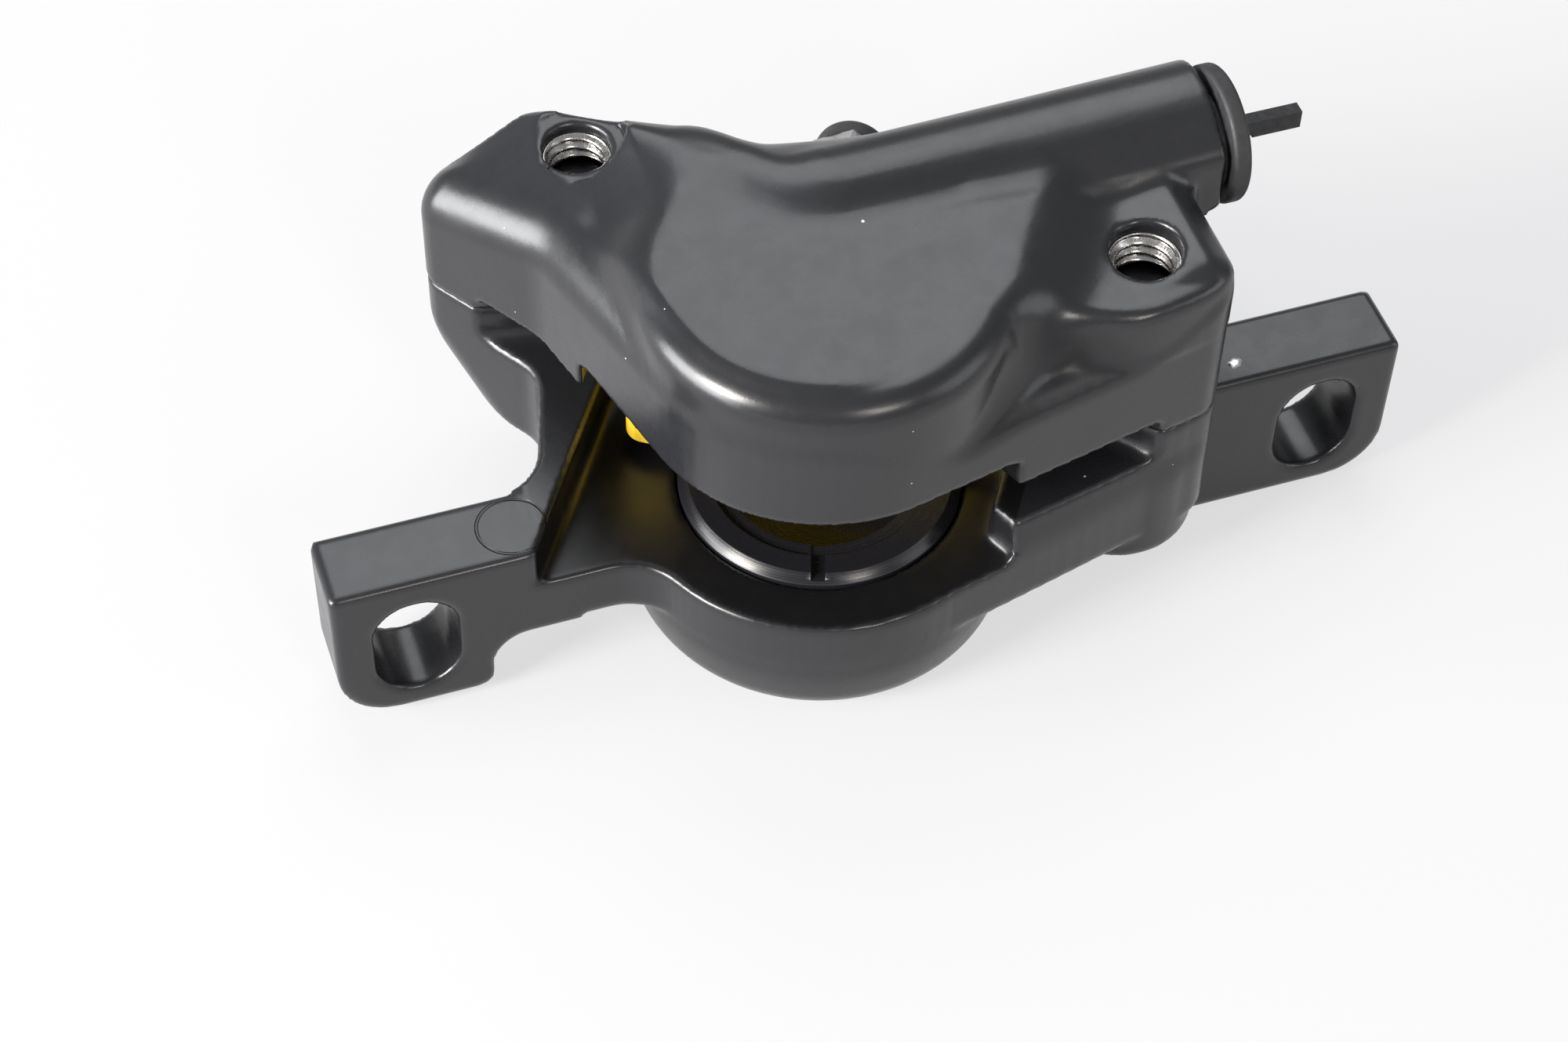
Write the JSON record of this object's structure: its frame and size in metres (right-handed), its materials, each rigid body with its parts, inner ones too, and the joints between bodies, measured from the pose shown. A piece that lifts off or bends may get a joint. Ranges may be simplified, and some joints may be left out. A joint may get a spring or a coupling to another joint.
{
  "type": "hydraulic disc brake caliper",
  "caption": "Two-piece hydraulic disc brake caliper with post-mount ears, facing pistons, a slanted hose barrel closed by a pull-tab plug, and a pad spacer in the rotor gap.",
  "frame": {"origin": "midpoint between the two mounting slots on the ears' post face", "axes": "+X along the line of the mounting slots towards the hose port, +Y away from the frame's posts, +Z along the piston axis from the mount half towards the outer half"},
  "size_m": [0.0866, 0.044, 0.037],
  "materials": {
    "cast_body": "satin black coating on cast aluminium",
    "bolt_steel": "black oxide",
    "piston": "smooth black phenolic",
    "seal_rubber": "matte",
    "plug_rubber": "matte black",
    "nipple_steel": "turned, bright",
    "cap_rubber": "matte black",
    "spacer_plastic": "moulded yellow",
    "pin_steel": "bright"
  },
  "bodies": {
    "caliper": {"mount_half": "cast_body", "outer_half": "cast_body", "body_bolt_left": "bolt_steel", "body_bolt_right": "bolt_steel", "piston_seal_mount_side": "seal_rubber", "piston_seal_outer_side": "seal_rubber", "transfer_port_seal": "seal_rubber", "passage_ball": "pin_steel", "hose_port_plug": "plug_rubber", "pad_spacer": "spacer_plastic", "pad_pin": "pin_steel", "pad_pin_clip": "pin_steel"},
    "mount_side_piston": {"piston_mount_side": "piston"},
    "outer_side_piston": {"piston_outer_side": "piston"},
    "nipple": {"bleed_nipple": "nipple_steel", "bleed_nipple_cap": "cap_rubber"}
  },
  "joints": [
    {"name": "mount_piston_slide", "type": "slide", "parent": "caliper", "child": "mount_side_piston", "axis": [0, 0, 1], "range_m": [-0.0008, 0.0009]},
    {"name": "outer_piston_slide", "type": "slide", "parent": "caliper", "child": "outer_side_piston", "axis": [0, 0, -1], "range_m": [-0.0008, 0.0009]},
    {"name": "nipple_turn", "type": "hinge", "parent": "caliper", "child": "nipple", "pos_m": [0.00166, 0.0175, 0.0196], "axis": [0.5213, 0.8183, -0.2419], "range_deg": [0, 90]}
  ],
  "couplings": [
    {"joint": "outer_piston_slide", "follows": "mount_piston_slide", "ratio": 1}
  ]
}
